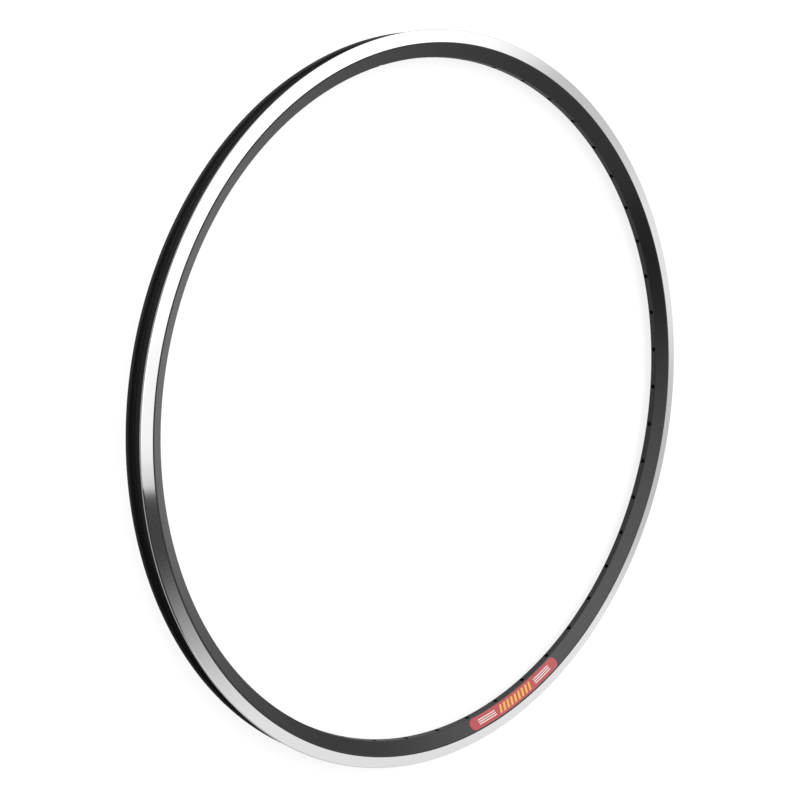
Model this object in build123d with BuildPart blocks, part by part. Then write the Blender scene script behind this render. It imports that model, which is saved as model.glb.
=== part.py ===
from build123d import *
from math import cos, hypot, radians, sin, tan
import os

# A bare clincher rim of the 622 mm wheel size: one extruded double-wall section, rolled into
# a hoop about Z and closed at -X. The valve hole is drilled at +X and the spoke holes are
# drilled radially all round. All sizes are in millimetres.

# Hoop
bead_seat_diameter = 622.0
flange_height = 6.0
rim_depth = 21.4
outer_width = 21.2

# Side faces: turned brake track, the plain band left below it, and the slanted wall
track_height = 10.0
track_cut = 0.1
band_height = 1.0
nose_width = 5.6
nose_radius = 1.2

# Hooked flanges that hold the tyre's beads
flange_thickness = 1.7
hook_reach = 0.85
hook_height = 2.2
tip_radius = 1.1
hook_chamfer = 0.7

# Tyre bed: two bead seats with a well between them
seat_width = 2.0
well_depth = 2.4

# Walls around the hollow chamber
bed_wall = 1.2
side_wall = 1.0
spoke_wall = 2.2

# Drilled holes
spoke_hole_count = 48
spoke_hole_diameter = 4.2
access_hole_diameter = 8.4
valve_hole_diameter = 6.5
drill_clearance = 1.0

# Vinyl label on the upper slanted wall, over the hoop's joint
label_angle = 23.6
label_height = 11.2
label_thickness = 0.12
label_film = 0.1
label_gap = 0.45
label_end_radius = 5.3

# Radii of the section, from the axis outwards
seat_r = bead_seat_diameter / 2
outer_r = seat_r + flange_height
nose_r = outer_r - rim_depth
track_r = outer_r - track_height
band_r = track_r - band_height
well_r = seat_r - well_depth

# Heights of the section, from the mid-plane to one side
half_width = outer_width / 2
nose_z = nose_width / 2
track_z = half_width - track_cut
flange_z = track_z - flange_thickness
hook_z = flange_z - hook_reach
seat_z = flange_z - seat_width
well_z = seat_z - well_depth

# Directions along the slanted wall, from the nose to the band, and square to it
wall_dr = band_r - nose_r
wall_dz = half_width - nose_z
wall_length = hypot(wall_dr, wall_dz)
along_r, along_z = wall_dr / wall_length, wall_dz / wall_length
out_r, out_z = -along_z, along_r

# The chamber's side runs parallel to the slanted wall
chamber_r = nose_r + spoke_wall
wall_slope = along_z / along_r
wall_thickness_z = side_wall / along_r
chamber_nose_z = nose_z + spoke_wall * wall_slope - wall_thickness_z
chamber_side_r = chamber_r + (flange_z - chamber_nose_z) / wall_slope
bed_turn = bed_wall * tan(radians(45 / 2))
roof_r = well_r - bed_wall
roof_z = well_z + bed_turn

# Hoop: the section's upper half is drawn, mirrored and turned about the axis
with BuildPart() as rim:
    with BuildSketch(Plane.XZ) as section:
        with BuildLine():
            Polyline(
                (nose_r, 0),
                (nose_r, nose_z),
                (band_r, half_width),
                (track_r, half_width),
                (track_r, track_z),
                (outer_r, track_z),
                (outer_r, hook_z),
                (outer_r - hook_height, hook_z),
                (outer_r - hook_height - hook_reach, flange_z),
                (seat_r, flange_z),
                (seat_r, seat_z),
                (well_r, well_z),
                (well_r, 0),
                close=True,
            )
        make_face()
        with BuildLine():
            Polyline(
                (chamber_r, 0),
                (chamber_r, chamber_nose_z),
                (chamber_side_r, flange_z),
                (seat_r - bed_wall, flange_z),
                (seat_r - bed_wall, seat_z + bed_turn),
                (roof_r, roof_z),
                (roof_r, 0),
                close=True,
            )
        make_face(mode=Mode.SUBTRACT)
        mirror(about=Plane.XZ)
        fillet(section.vertices().group_by(Axis.X)[0], radius=nose_radius)
        tip_corners = section.vertices().group_by(Axis.X)[-1].sort_by(Axis.Y)
        fillet([tip_corners[0], tip_corners[-1]], radius=tip_radius)
        chamfer(section.vertices().group_by(Axis.X)[-1].sort_by(Axis.Y)[1:3], length=hook_chamfer)
    revolve(axis=Axis.Z)

    # Each spoke hole has a wider hole above it in the tyre bed, for the nipple to go in by
    half_pitch = 360 / spoke_hole_count / 2
    with PolarLocations(nose_r - drill_clearance, spoke_hole_count, start_angle=half_pitch):
        Cylinder(
            spoke_hole_diameter / 2,
            spoke_wall + 2 * drill_clearance,
            rotation=(0, 90, 0),
            align=(Align.CENTER, Align.CENTER, Align.MIN),
            mode=Mode.SUBTRACT,
        )
    with PolarLocations(roof_r - drill_clearance, spoke_hole_count, start_angle=half_pitch):
        Cylinder(
            access_hole_diameter / 2,
            bed_wall + 2 * drill_clearance,
            rotation=(0, 90, 0),
            align=(Align.CENTER, Align.CENTER, Align.MIN),
            mode=Mode.SUBTRACT,
        )
    with Locations((nose_r - drill_clearance, 0, 0)):
        Cylinder(
            valve_hole_diameter / 2,
            well_r - nose_r + 2 * drill_clearance,
            rotation=(0, 90, 0),
            align=(Align.CENTER, Align.CENTER, Align.MIN),
            mode=Mode.SUBTRACT,
        )
rim.part.label = "rim"

# Label: a thin strip on the slanted wall, held by its adhesive film and centred on the joint at -X
label_start = 180 - label_angle / 2
label_plane = Plane(
    origin=(0, 0, 0),
    x_dir=(cos(radians(label_start)), sin(radians(label_start)), 0),
    z_dir=(sin(radians(label_start)), -cos(radians(label_start)), 0),
)
label_high_r = band_r - label_gap * along_r + label_film * out_r
label_high_z = half_width - label_gap * along_z + label_film * out_z
label_low_r = label_high_r - label_height * along_r
label_low_z = label_high_z - label_height * along_z

with BuildPart() as side_label:
    with BuildSketch(label_plane):
        with BuildLine():
            Polyline(
                (label_low_r, label_low_z),
                (label_high_r, label_high_z),
                (label_high_r + label_thickness * out_r, label_high_z + label_thickness * out_z),
                (label_low_r + label_thickness * out_r, label_low_z + label_thickness * out_z),
                close=True,
            )
        make_face()
    revolve(axis=Axis.Z, revolution_arc=label_angle)
    fillet(side_label.edges().group_by(SortBy.LENGTH)[0], radius=label_end_radius)
side_label.part.label = "side_label"

os.makedirs("parts", exist_ok=True)
export_step(rim.part, "parts/rim.step")
export_step(side_label.part, "parts/side_label.step")
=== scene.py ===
# %% [markdown]
# # A bare bicycle rim
#
# This lesson dresses one part: an aluminium bicycle rim that lies on a pale studio floor. The hoop comes from
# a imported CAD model, in metres, with its axis on Z, its valve hole on +X and its joint on -X. We give it a
# camera, a studio, a finer surface, the finishes that the real metal has, and the print on the label on its
# side.

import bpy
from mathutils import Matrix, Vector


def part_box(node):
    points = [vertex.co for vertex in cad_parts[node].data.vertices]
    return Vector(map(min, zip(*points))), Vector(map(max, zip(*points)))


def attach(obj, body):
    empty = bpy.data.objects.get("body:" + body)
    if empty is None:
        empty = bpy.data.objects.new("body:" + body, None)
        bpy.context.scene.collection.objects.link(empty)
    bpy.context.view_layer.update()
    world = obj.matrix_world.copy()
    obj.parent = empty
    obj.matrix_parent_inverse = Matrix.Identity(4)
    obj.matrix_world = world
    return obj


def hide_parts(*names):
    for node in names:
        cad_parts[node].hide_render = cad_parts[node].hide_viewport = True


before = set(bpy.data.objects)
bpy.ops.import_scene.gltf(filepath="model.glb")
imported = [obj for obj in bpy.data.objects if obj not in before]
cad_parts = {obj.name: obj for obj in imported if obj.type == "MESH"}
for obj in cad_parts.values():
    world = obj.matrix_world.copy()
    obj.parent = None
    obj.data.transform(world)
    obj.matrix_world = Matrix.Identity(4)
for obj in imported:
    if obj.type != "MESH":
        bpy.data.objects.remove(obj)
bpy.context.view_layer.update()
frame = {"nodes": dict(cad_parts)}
print("packed pieces:", ", ".join(frame["nodes"]))

# %% [markdown]
# ## Sizes that everything else is measured from
#
# A rolled and turned part is drawn as one section, so a few radii and heights above the mid-plane fix
# everything on it. The outer ones are read from the frame. The rest are steps inward from them, as on a
# maker's section drawing.

# %% Radii and heights of the section
import math

import bpy
from mathutils import Matrix, Quaternion, Vector

MM = 0.001
rim_depth = 21.4 * MM
flange_height = 6.0 * MM
flange_thickness = 1.7 * MM
track_height = 10.0 * MM
track_cut = 0.1 * MM
band_height = 1.0 * MM
nose_width = 5.6 * MM

rim_low, rim_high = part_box("rim")
outer_radius = min(rim_high.x, rim_high.y, -rim_low.x, -rim_low.y)
seat_radius = outer_radius - flange_height
track_radius = outer_radius - track_height
band_radius = track_radius - band_height
nose_radius = outer_radius - rim_depth
half_width = rim_high.z
track_level = half_width - track_cut
flange_level = track_level - flange_thickness
nose_level = nose_width / 2
print(f"hoop {outer_radius / MM * 2:.1f} mm across, {half_width / MM * 2:.1f} mm wide")

# %% [markdown]
# ## Camera
#
# The photograph looks down on the hoop from one side, with the picture turned so that the hoop seems to
# stand. A camera is most easily read as a place, a point that it aims at and a roll about its own view line.
# The three were found by fitting the hoop's circles and spoke holes to the photograph.

# %% Camera at the photograph's viewing angle
picture_size = 800
focal_pixels = 1294.4
sensor_width = 36.0
camera_place = Vector((0.4005, 0.7056, 0.7891))
camera_aim = Vector((0.0280, 0.0531, 0.0))
camera_roll = math.radians(-99.906)

camera = bpy.data.objects.new("camera", bpy.data.cameras.new("camera"))
bpy.context.scene.collection.objects.link(camera)
camera.data.sensor_width = sensor_width
camera.data.lens = focal_pixels / picture_size * sensor_width
view_line = (camera_aim - camera_place).normalized()
upright = view_line.to_track_quat("-Z", "Y")
camera.rotation_mode = "QUATERNION"
camera.rotation_quaternion = upright @ Quaternion((0, 0, 1), -camera_roll)
camera.location = camera_place
bpy.context.scene.camera = camera
print(f"lens {camera.data.lens:.2f} mm, {camera_place.length:.3f} m from the hoop's centre")

# %% [markdown]
# ## Shader sums as plain Python
#
# Node trees get hard to read when each sum is three lines of links. One small class wraps a socket, so that
# an expression such as `1 - mask` adds its own Math nodes. Its `node` method makes every other kind of node:
# the settings are set first, then the values or links of its sockets.

# %% A socket that can be used in sums
class Wire:
    """An output socket of a node tree. Used in an expression, it adds Math nodes to that tree."""

    def __init__(self, tree, socket=None):
        self.tree = tree
        self.socket = socket

    def node(self, kind, inputs=None, output=0, **settings):
        made = self.tree.nodes.new(kind)
        for name, value in settings.items():
            setattr(made, name, value)
        for name, value in (inputs or {}).items():
            if isinstance(value, Wire):
                self.tree.links.new(value.socket, made.inputs[name])
            else:
                made.inputs[name].default_value = value
        return Wire(self.tree, made.outputs[output] if made.outputs else None)

    def math(self, operation, *values):
        return self.node("ShaderNodeMath", dict(enumerate(values)), operation=operation)

    def __add__(self, other):
        return self.math("ADD", self, other)

    def __radd__(self, other):
        return self.math("ADD", other, self)

    def __sub__(self, other):
        return self.math("SUBTRACT", self, other)

    def __rsub__(self, other):
        return self.math("SUBTRACT", other, self)

    def __mul__(self, other):
        return self.math("MULTIPLY", self, other)

    def __rmul__(self, other):
        return self.math("MULTIPLY", other, self)

    def __truediv__(self, other):
        return self.math("DIVIDE", self, other)

    def __rtruediv__(self, other):
        return self.math("DIVIDE", other, self)

    def __abs__(self):
        return self.math("ABSOLUTE", self)

    def at_most(self, limit):
        return self.math("MINIMUM", self, limit)

    def at_least(self, limit):
        return self.math("MAXIMUM", self, limit)

    def root(self):
        return self.math("SQRT", self)

    def rise(self, start, end):
        """Goes smoothly from 0 at start to 1 at end."""
        inputs = {"Value": self, "From Min": start, "From Max": end}
        return self.node("ShaderNodeMapRange", inputs, interpolation_type="SMOOTHSTEP")

    def tint(self, low, high):
        """Mixes two colours, or colour sockets, by this value."""
        low = low if isinstance(low, Wire) else (*low, 1.0)
        high = high if isinstance(high, Wire) else (*high, 1.0)
        return self.node("ShaderNodeMix", {0: self, 6: low, 7: high}, output=2, data_type="RGBA")

    def parts(self, vector):
        """The three numbers of a vector socket."""
        split = self.node("ShaderNodeSeparateXYZ", {"Vector": vector}).socket.node
        return [Wire(self.tree, socket) for socket in split.outputs]

    def noise(self, coordinates, detail):
        """Cloudy noise from 0 to 1 whose features are about as large as one step of each coordinate."""
        place = self.node("ShaderNodeCombineXYZ", dict(enumerate(coordinates)))
        inputs = {"Vector": place, "Scale": 1.0, "Detail": detail, "Roughness": 0.6}
        return self.node("ShaderNodeTexNoise", inputs, output="Fac")


# %% [markdown]
# ## Studio
#
# The rim was photographed alone on white, and its bright tracks tell what stood around it. The top left of
# the hoop mirrors a large round lamp, and most of the rest mirrors pale walls. The lower left mirrors a strip
# of unlit room beside the lamp, which widens towards the camera. All three are drawn on one dome of light,
# because a dome stays soft and needs no lamp to be hidden. What the camera sees of it directly is plain
# white, and matt surfaces get three quarters of what mirrors show, which keeps the black deep.
#
# A direction on the dome has three parts, each from -1 to 1: east along X, north along Y and height along Z.
# The room's edges are given in these parts, and the lamp's edge is the cosine of an angle from its middle.

# %% Directions on the dome
def way(azimuth, height):
    """A direction from its angle round Z and its angle above the floor, in degrees."""
    raised = Quaternion((0, 1, 0), -math.radians(height)) @ Vector((1, 0, 0))
    return Quaternion((0, 0, 1), math.radians(azimuth)) @ raised


dome = bpy.data.worlds.new("dome")
bpy.context.scene.world = dome
dome.use_nodes = True
dome.node_tree.nodes.clear()
sky = Wire(dome.node_tree)
direction = sky.node("ShaderNodeTexCoord", output="Generated")
east, north, height = sky.parts(direction)


def nearness(centre):
    """The cosine of the angle between the looked-at direction and this one."""
    inputs = {0: direction, 1: centre}
    return sky.node("ShaderNodeVectorMath", inputs, output="Value", operation="DOT_PRODUCT")


print("camera stands towards", [round(part, 2) for part in -view_line])

# %% Round lamp, a little flattened on its west side
lamp_way = way(330, 58)
lamp_half_angle = 46.1
lamp_edge = math.cos(math.radians(lamp_half_angle))
blur_outside, blur_inside = 0.018, 0.014
lamp_edge_light = 0.27
lamp_rise = 1.80
flat_share, flat_from = 0.35, -0.11

flattened = flat_share * (flat_from - east).at_least(0.0)
to_lamp = nearness(lamp_way) - flattened
inside = to_lamp.rise(lamp_edge - blur_outside, lamp_edge + blur_inside)
lamp = inside * (lamp_edge_light + (to_lamp - lamp_edge) * (lamp_rise / (1 - lamp_edge)))
print(f"lamp {2 * lamp_half_angle:.0f} degrees across, its middle {lamp_edge_light + lamp_rise:.2f} bright")

# %% Unlit room, a strip with a soft west side and a sharper side along the lamp
room_depth = 0.95
west_lean, west_pivot = 0.18, -0.404
lamp_lean, lamp_pivot = 0.22, -0.423
west_fade = (-0.54, -0.40)
lamp_step = (-0.3625, -0.3555)
lamp_fade = (-0.3555, -0.322)
step_share = 0.72
height_fade = (0.60, 0.74)
north_fade = (-0.1, 0.2)

west_side = east + west_lean * (north - west_pivot)
lamp_side = east - lamp_lean * (north - lamp_pivot)
lamp_border = step_share * lamp_side.rise(*lamp_step) + (1 - step_share) * lamp_side.rise(*lamp_fade)
room = west_side.rise(*west_fade) * (1 - lamp_border)
room = room * height.rise(*height_fade).at_least(north.rise(*north_fade))
print(f"unlit room keeps {1 - room_depth:.2f} of the light")

# %% Walls, dimmer low down behind the camera, with a few paler and darker patches
wall_light = 0.88
dimming = 0.75
dim_north = (-0.15, 0.4)
dim_height = (0.0, 0.85)
walls = wall_light * (1 - dimming * north.rise(*dim_north) * (1 - height.rise(*dim_height)))

patches = [
    {"azimuth": 190, "height": 22, "core": 8, "reach": 36, "change": -0.26},
    {"azimuth": 270, "height": 16, "core": 6, "reach": 26, "change": -0.44},
    {"azimuth": 260, "height": 39.5, "core": 1, "reach": 7, "change": -0.31},
    {"azimuth": 239.3, "height": 33.8, "core": 1, "reach": 7.5, "change": -0.39},
    {"azimuth": 238, "height": 57, "core": 5, "reach": 12, "change": 0.18},
]
for patch in patches:
    core, reach = [math.cos(math.radians(patch[part])) for part in ("core", "reach")]
    spot = nearness(way(patch["azimuth"], patch["height"])).rise(reach, core)
    walls = walls * (1 + patch["change"] * spot)
print(len(patches), "patches on the walls")

# %% The dome's light
soft_share = 0.75
seen = sky.node("ShaderNodeLightPath", output="Is Camera Ray")
mirrored = sky.node("ShaderNodeLightPath", output="Is Glossy Ray")
through = sky.node("ShaderNodeLightPath", output="Is Transmission Ray")
sharp = (mirrored + through).at_most(1.0)
light = (walls + lamp) * (1 - room_depth * room) * (soft_share + (1 - soft_share) * sharp)
light = light * (1 - seen) + seen
background = sky.node("ShaderNodeBackground", {"Color": light})
sky.node("ShaderNodeOutputWorld", {"Surface": background})
print("dome of", len(dome.node_tree.nodes), "nodes")

# %% [markdown]
# ## Floor
#
# A studio floor for a cut-out picture is lit until it is white, and only a soft shadow under the object
# stays. The floor glows to the camera and to mirrors, with a smaller matt share that can still be shaded. To
# all other light it is plain matt paint, so that it doesn't light the rim from below more than paint would.

# %% Sheet of the floor
floor_reach = 12.0
square = ((-1, -1), (1, -1), (1, 1), (-1, 1))
floor_mesh = bpy.data.meshes.new("floor")
floor_corners = [(x * floor_reach, y * floor_reach, -half_width) for x, y in square]
floor_mesh.from_pydata(floor_corners, [], [(0, 1, 2, 3)])
floor = bpy.data.objects.new("floor", floor_mesh)
bpy.context.scene.collection.objects.link(floor)
print(f"floor at {-half_width / MM:.1f} mm")

# %% Pale finish of the floor
def new_finish(name):
    """An empty node material, and a Wire to build it with."""
    material = bpy.data.materials.new(name)
    material.use_nodes = True
    material.node_tree.nodes.clear()
    return material, Wire(material.node_tree)


floor_glow = 0.85
shaded_paint = (0.25, 0.25, 0.25, 1)
matt_paint = (0.8, 0.8, 0.8, 1)
pale, finish = new_finish("pale_floor")
seen = finish.node("ShaderNodeLightPath", output="Is Camera Ray")
mirrored = finish.node("ShaderNodeLightPath", output="Is Glossy Ray")
through = finish.node("ShaderNodeLightPath", output="Is Transmission Ray")
shown = (seen + mirrored + through).at_most(1.0)
matt = finish.node("ShaderNodeBsdfDiffuse", {"Color": matt_paint})
shaded = finish.node("ShaderNodeBsdfDiffuse", {"Color": shaded_paint})
glow = finish.node("ShaderNodeEmission", {"Color": (1, 1, 1, 1), "Strength": floor_glow})
lit = finish.node("ShaderNodeAddShader", {0: shaded, 1: glow})
surface = finish.node("ShaderNodeMixShader", {0: shown, 1: matt, 2: lit})
finish.node("ShaderNodeOutputMaterial", {"Surface": surface})
floor_mesh.materials.append(pale)
print("finish of the floor has", len(pale.node_tree.nodes), "nodes")

# %% [markdown]
# ## A finer hoop
#
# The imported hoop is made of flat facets, which a mirror-bright ring shows as dashes, and most of its corners
# are sharp. A real extrusion has a small radius on every corner. A Bevel modifier could round the packed
# edges, but it would keep the facets. So the same section is drawn again as a list of corners, each with its
# own rounding, and turned about Z in finer steps. Half a section is enough: the other half is its mirror
# image.

# %% Corners of the section
hook_reach = 0.85 * MM
hook_height = 2.2 * MM
tip_round = 1.1 * MM
seat_width = 2.0 * MM
well_depth = 2.4 * MM
hook_level = flange_level - hook_reach
hook_radius = outer_radius - hook_height
seat_level = flange_level - seat_width
well_radius = seat_radius - well_depth
well_level = seat_level - well_depth
section = [
    (nose_radius, nose_level, 0.8 * MM),
    (band_radius, half_width, 2.0 * MM),
    (track_radius, half_width, 0),
    (track_radius, track_level, 0),
    (outer_radius, track_level, tip_round),
    (outer_radius, hook_level, tip_round),
    (hook_radius, hook_level, 0.4 * MM),
    (hook_radius - hook_reach, flange_level, 0.6 * MM),
    (seat_radius, flange_level, 0.8 * MM),
    (seat_radius, seat_level, 2.6 * MM),
    (well_radius, well_level, 4.5 * MM),
]
print(f"{2 * hook_level / MM:.1f} mm between the hooks, well at {well_radius / MM:.1f} mm")

# %% Corners of the chamber inside it, whose side runs along the slanted wall
bed_wall = 1.2 * MM
side_wall = 1.0 * MM
spoke_wall = 2.2 * MM
bed_turn = bed_wall * math.tan(math.radians(45 / 2))
wall_slope = (half_width - nose_level) / (band_radius - nose_radius)
chamber_radius = nose_radius + spoke_wall
chamber_level = nose_level + spoke_wall * wall_slope - side_wall * math.hypot(1, wall_slope)
roof_radius = well_radius - bed_wall
chamber = [
    (chamber_radius, chamber_level, 0),
    (chamber_radius + (flange_level - chamber_level) / wall_slope, flange_level, 0),
    (seat_radius - bed_wall, flange_level, 0),
    (seat_radius - bed_wall, seat_level + bed_turn, 0),
    (roof_radius, well_level + bed_turn, 0),
]
print(f"wall slopes {math.degrees(math.atan(wall_slope)):.1f} degrees")

# %% Rounded outlines
arc_step = math.radians(12)


def outline(upper):
    """The closed outline of a half section and its mirror image, each corner rounded by its own radius; a
    radius of 0 leaves it sharp.
    """
    corners = upper + [(radius, -level, rounding) for radius, level, rounding in reversed(upper)]
    points = []
    for number, (radius, level, rounding) in enumerate(corners):
        corner = Vector((radius, level))
        back = (Vector(corners[number - 1][:2]) - corner).normalized()
        ahead = (Vector(corners[(number + 1) % len(corners)][:2]) - corner).normalized()
        turn = math.pi - back.angle(ahead)
        if rounding == 0:
            points.append(corner)
            continue
        centre = corner + (back + ahead).normalized() * rounding / math.cos(turn / 2)
        start = corner + back * rounding * math.tan(turn / 2) - centre
        end = corner + ahead * rounding * math.tan(turn / 2) - centre
        steps = math.ceil(turn / arc_step)
        points += [centre + rounding * start.slerp(end, step / steps) for step in range(steps + 1)]
    return points


hoop_outline = outline(section)
chamber_outline = outline(chamber)
print(len(hoop_outline), "points round the section,", len(chamber_outline), "round the chamber")

# %% Turning an outline about Z
def turned(profile, steps, closed):
    """Points and faces of a profile of (radius, height) turned about Z; an open profile gets flat ends."""
    angles = [2 * math.pi * step / steps for step in range(steps)]
    points = [Vector((r * math.cos(a), r * math.sin(a), z)) for r, z in profile for a in angles]
    faces = []
    for ring in range(len(profile) if closed else len(profile) - 1):
        here, there = ring * steps, (ring + 1) % len(profile) * steps
        for step in range(steps):
            after = (step + 1) % steps
            faces.append((here + step, here + after, there + after, there + step))
    if not closed:
        faces.append(tuple(reversed(range(steps))))
        faces.append(tuple(range(len(points) - steps, len(points))))
    return points, faces


def mesh_of(name, shells):
    """One mesh from several shells of points and faces."""
    points, faces = [], []
    for shell_points, shell_faces in shells:
        faces += [tuple(len(points) + corner for corner in face) for face in shell_faces]
        points += shell_points
    mesh = bpy.data.meshes.new(name)
    mesh.from_pydata(points, [], faces)
    return mesh


hoop_steps = 480
shells = [turned(hoop_outline[::-1], hoop_steps, True), turned(chamber_outline, hoop_steps, True)]
hoop = bpy.data.objects.new("hoop", mesh_of("hoop", shells))
bpy.context.scene.collection.objects.link(hoop)
print("undrilled hoop has", len(hoop.data.polygons), "faces")

# %% [markdown]
# ## Drilling
#
# Each spoke hole goes through the spoke bed, and a wider hole above it in the tyre bed lets the nipple in. A
# valve hole goes through both beds. Dark dots would do from afar, but a real hole shows its depth and lets
# light through. So drills are turned with the same function, laid along the spokes and cut away by a Boolean.
# A spoke drill starts wide, which leaves the small countersink that a real edge gets when its burr is taken
# off.

# %% Profiles of the drills
broken_edge = 0.15 * MM
drill_clearance = 1.0 * MM
spoke_hole_radius = 2.1 * MM
access_hole_radius = 4.2 * MM
valve_hole_radius = 3.25 * MM
spoke_drill = [
    (spoke_hole_radius + 2 * broken_edge, nose_radius - broken_edge),
    (spoke_hole_radius, nose_radius + broken_edge),
    (spoke_hole_radius, chamber_radius + drill_clearance),
]
access_drill = [
    (access_hole_radius, roof_radius - drill_clearance),
    (access_hole_radius, well_radius + drill_clearance),
]
valve_drill = [
    (valve_hole_radius, nose_radius - drill_clearance),
    (valve_hole_radius, well_radius + drill_clearance),
]
print(f"spoke holes {2 * spoke_hole_radius / MM:.1f} mm, valve hole {2 * valve_hole_radius / MM:.1f} mm")

# %% Drills, laid along the spokes
hole_count = 48
hole_steps = 36


def laid(profile, angle):
    """A drill turned from its profile, pointing outward at this angle round the hoop."""
    points, faces = turned(profile, hole_steps, False)
    place = Matrix.Rotation(angle, 3, "Z") @ Matrix.Rotation(math.pi / 2, 3, "Y")
    return [place @ point for point in points], faces


drill_shells = [laid(valve_drill, 0)]
for number in range(hole_count):
    hole_angle = 2 * math.pi * (number + 0.5) / hole_count
    drill_shells += [laid(spoke_drill, hole_angle), laid(access_drill, hole_angle)]
drills = bpy.data.objects.new("drills", mesh_of("drills", drill_shells))
bpy.context.scene.collection.objects.link(drills)
print(len(drill_shells), "drills")

# %% Cutting, and smooth shading
sharp_angle = math.radians(32)


def bake(piece):
    """Puts the result of the piece's modifiers in place of its mesh."""
    ready = piece.evaluated_get(bpy.context.evaluated_depsgraph_get())
    piece.data = bpy.data.meshes.new_from_object(ready)
    piece.modifiers.clear()


drilling = hoop.modifiers.new("drilling", "BOOLEAN")
drilling.object = drills
drilling.operation = "DIFFERENCE"
drilling.solver = "MANIFOLD"
bake(hoop)
bpy.data.objects.remove(drills)
hoop.data.shade_smooth()
hoop.data.set_sharp_from_angle(angle=sharp_angle)
even = hoop.modifiers.new("even_normals", "WEIGHTED_NORMAL")
even.keep_sharp = True
bake(hoop)
hoop.data.calc_loop_triangles()
print("drilled hoop has", len(hoop.data.loop_triangles), "triangles")
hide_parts("rim")
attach(hoop, "root")

# %% [markdown]
# ## Metal finishes
#
# The hoop is anodised black all over and then turned on its two sides, which cuts the black away and leaves
# bright rings for the brake pads. It is one piece of metal with two finishes, so one material holds both and
# mixes them by radius and height. Rolling and turning both leave marks that run round the hoop, so the noise
# is stretched that way: its coordinates are the radius, the height and the angle, not X, Y and Z. The tool's
# grooves blur a mirror image across them and keep it sharp along them, which is what Anisotropic is for.
#
# A thin hoop never sits quite true on a lathe. A little off centre, its cut starts some tenths of a
# millimetre further out on one side, which is one wave of the angle. On the upper side the tool has also
# skimmed the outer lip, so that the lip is partly bright. Only the side walls are polished before they are
# anodised, so the tyre channel and the spoke bed are duller.

# %% Where on the hoop a point is
channel_fade = 0.5 * MM
bed_fade = (nose_radius + 0.1 * MM, nose_radius + 0.5 * MM)
metal, finish = new_finish("black_anodised_and_turned")
x, y, z = finish.parts(finish.node("ShaderNodeTexCoord", output="Object"))
radius = (x * x + y * y).root()
level = abs(z)
angle = y.math("ARCTAN2", y, x)
channel = radius.rise(track_radius - channel_fade, track_radius + channel_fade)
bed = 1 - radius.rise(*bed_fade)
print(f"tyre channel lies outside {track_radius / MM:.0f} mm, spoke bed inside {bed_fade[1] / MM:.0f} mm")

# %% Where the lathe has cut
cut_start, cut_swing = 0.15 * MM, 0.2 * MM
cut_step = 0.06 * MM
cut_fade = (track_level - 0.6 * MM, track_level - 0.35 * MM)
skim_fade = (track_level - 1.9 * MM, track_level - 1.3 * MM)
skim_share = 0.35
cut_edge = track_radius + cut_start - cut_swing * angle.math("COSINE", angle)
cut_sides = level.rise(*cut_fade).at_least(skim_share * z.rise(*skim_fade))
ring = (radius - cut_edge).rise(0.0, cut_step) * cut_sides
print(f"cut starts {cut_start / MM:.2f} mm outside the track's edge, {cut_swing / MM:.2f} mm more or less")

# %% Satin black
drawn_width, drawn_turns = 0.35 * MM, 1.6
cloud_size, cloud_height = 28 * MM, 9 * MM
grain_size = 0.16 * MM
drawn = finish.noise((radius / drawn_width, level / drawn_width, angle * drawn_turns), 2.0)
cloud = finish.noise((x / cloud_size, y / cloud_size, z / cloud_height), 3.0)
grain = finish.noise([part / grain_size for part in (x, y, z)], 1.0)
black_colour = cloud.tint((0.0108, 0.0108, 0.0112), (0.0142, 0.0140, 0.0142))
black_roughness = 0.25 + 0.06 * cloud + 0.05 * drawn + 0.3 * channel + 0.25 * bed
black_height = 0.6 * drawn + 0.4 * grain
black_bump = finish.node("ShaderNodeBump", {"Height": black_height, "Distance": 0.004 * MM, "Strength": 1.0})
print(f"drawn marks {drawn_width / MM:.2f} mm wide, grain {grain_size / MM:.2f} mm")

# %% Painted highlight along the joint at -X, and the black's shader
# The joint is real, but its pale line is a painted highlight that stands for the glint on the seam's edge.
joint_glint_fade = (0.05 * MM, 0.12 * MM)
joint_side = 1 - x.rise(-0.1, 0.0)
joint_glint = (1 - abs(y).rise(*joint_glint_fade)) * joint_side
# Painted highlight: pale grey in the base colour along the joint's line.
black_colour = joint_glint.tint(black_colour, (0.22, 0.22, 0.23))
black = finish.node("ShaderNodeBsdfPrincipled", {
    "Base Color": black_colour,
    "Roughness": black_roughness,
    "IOR": 1.46,
    "Normal": black_bump,
})
print(f"joint shows as a line {2 * joint_glint_fade[1] / MM:.2f} mm wide")

# %% Turned rings
fine_width, fine_turns = 0.22 * MM, 0.9
broad_width, broad_turns = 1.7 * MM, 2.5
side = z.math("SIGN", z)
fine_rings = finish.noise((radius / fine_width, side, angle * fine_turns), 2.0)
broad_rings = finish.noise((radius / broad_width, side + 7.0, angle * broad_turns), 2.0)
both_rings = 0.5 * fine_rings + 0.5 * broad_rings
bright_colour = both_rings.tint((0.865, 0.865, 0.872), (0.895, 0.895, 0.900))
bright_bump = finish.node("ShaderNodeBump", {"Height": fine_rings, "Distance": 0.0002 * MM, "Strength": 1.0})
bright = finish.node("ShaderNodeBsdfPrincipled", {
    "Base Color": bright_colour,
    "Metallic": 1.0,
    "Roughness": 0.07 + 0.03 * both_rings,
    "Anisotropic": 1.0,
    "Anisotropic Rotation": 0.25,
    "Normal": bright_bump,
})
surface = finish.node("ShaderNodeMixShader", {0: ring, 1: black, 2: bright})
finish.node("ShaderNodeOutputMaterial", {"Surface": surface})
hoop.data.materials.clear()
hoop.data.materials.append(metal)
print("finish of the hoop has", len(metal.node_tree.nodes), "nodes")

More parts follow.
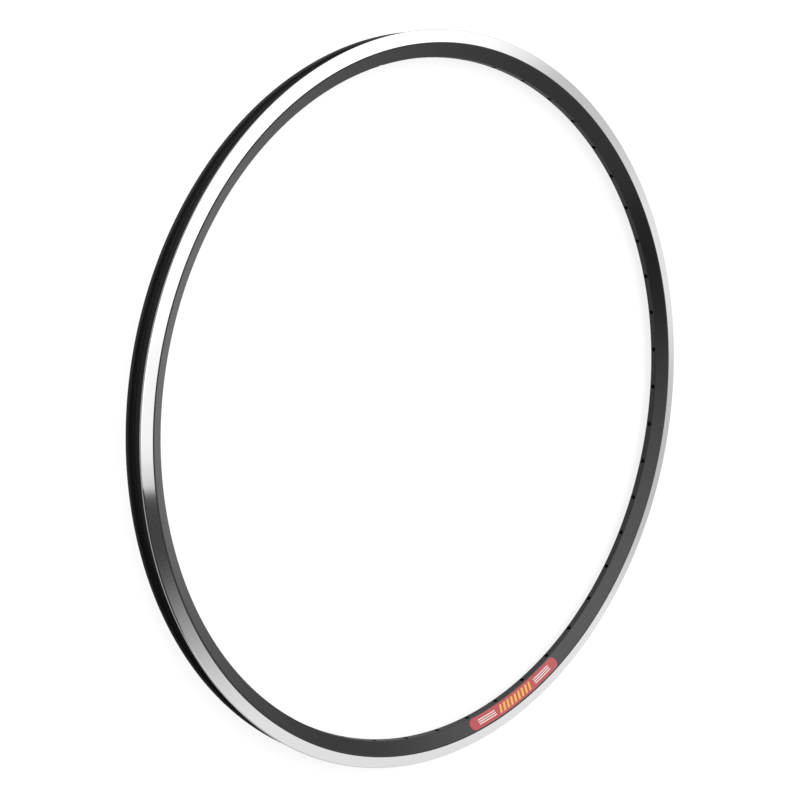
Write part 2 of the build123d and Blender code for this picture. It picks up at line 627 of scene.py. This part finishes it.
# %% [markdown]
# ## Printed label
#
# The label is thin gloss vinyl on the slanted wall. Its print is made of plain shapes: a red field, slanted
# amber bars across the middle and white lines towards the ends. An image could be wrapped round the wall, but
# plain shapes are short sums and stay sharp from near by. A print is flat on its sheet, so they are drawn in
# two lengths: along the label from its middle, and down the wall from the label's outer edge.

# %% Lengths along and down the label
label_gap = 0.45 * MM
label_height = 11.2 * MM
wall_length = math.hypot(band_radius - nose_radius, half_width - nose_level)
label_radius = (band_radius + nose_radius) / 2
vinyl, finish = new_finish("printed_vinyl")
x, y, z = finish.parts(finish.node("ShaderNodeTexCoord", output="Object"))
radius = (x * x + y * y).root()
along = y.math("ARCTAN2", y, -1 * x) * label_radius
down = (band_radius - radius) * (wall_length / (band_radius - nose_radius)) - label_gap
print(f"label {label_height / MM:.1f} mm high on a wall of {wall_length / MM:.1f} mm")

# %% Amber bars
edge = 0.06 * MM
bar_pitch = 5.2 * MM
bar_half = 1.4 * MM
bar_lean = 0.45
bars_reach = 22 * MM
bars_margin = 2.0 * MM
bars_foot = label_height - bars_margin
slant = along + bar_lean * (down - label_height / 2)
bar_count = slant / bar_pitch + 0.5
across_bar = abs(bar_count.math("FRACT", bar_count) - 0.5) * bar_pitch
bars = 1 - across_bar.rise(bar_half - edge, bar_half + edge)
bars = bars * (1 - abs(slant).rise(bars_reach, bars_reach + edge))
bars = bars * down.rise(bars_margin, bars_margin + edge) * (1 - down.rise(bars_foot, bars_foot + edge))
print(f"bars {2 * bar_half / MM:.1f} mm wide, every {bar_pitch / MM:.1f} mm")

# %% White lines
line_half = 0.45 * MM
line_start, line_end = 28 * MM, 51 * MM
line_places = (3.6 * MM, 5.6 * MM, 7.6 * MM)
lines = 0.0
for place in line_places:
    lines = lines + (1 - abs(down - place).rise(line_half - edge, line_half + edge))
from_middle = abs(along)
lines = lines * from_middle.rise(line_start, line_start + edge)
lines = lines * (1 - from_middle.rise(line_end, line_end + edge))
print(len(line_places), "lines at each end")

# %% Inks on gloss vinyl
red_ink = (0.43, 0.022, 0.036)
amber_ink = (0.88, 0.45, 0.035)
white_ink = (0.86, 0.85, 0.83)
faded_ink = (0.62, 0.20, 0.16)
fade_share, fade_size = 0.22, 20 * MM
peel_size = 1.4 * MM
peel = finish.noise([part / peel_size for part in (x, y, z)], 2.0)
fade = finish.noise([part / fade_size for part in (x, y, z)], 2.0)
printed = lines.tint(bars.tint(red_ink, amber_ink), white_ink)
vinyl_bump = finish.node("ShaderNodeBump", {"Height": peel, "Distance": 0.006 * MM, "Strength": 1.0})
ink = finish.node("ShaderNodeBsdfPrincipled", {
    "Base Color": (fade_share * fade).tint(printed, faded_ink),
    "Roughness": 0.26 + 0.12 * peel,
    "Normal": vinyl_bump,
})
finish.node("ShaderNodeOutputMaterial", {"Surface": ink})
label = frame["nodes"]["side_label"]
label.data.materials.clear()
label.data.materials.append(vinyl)
print("finish of the label has", len(vinyl.node_tree.nodes), "nodes")

# %% [markdown]
# ## Colours at the end
#
# The Standard view shows a colour about as it is written, which suits a plain product picture.

# %% View at the end
bpy.context.scene.view_settings.view_transform = "Standard"
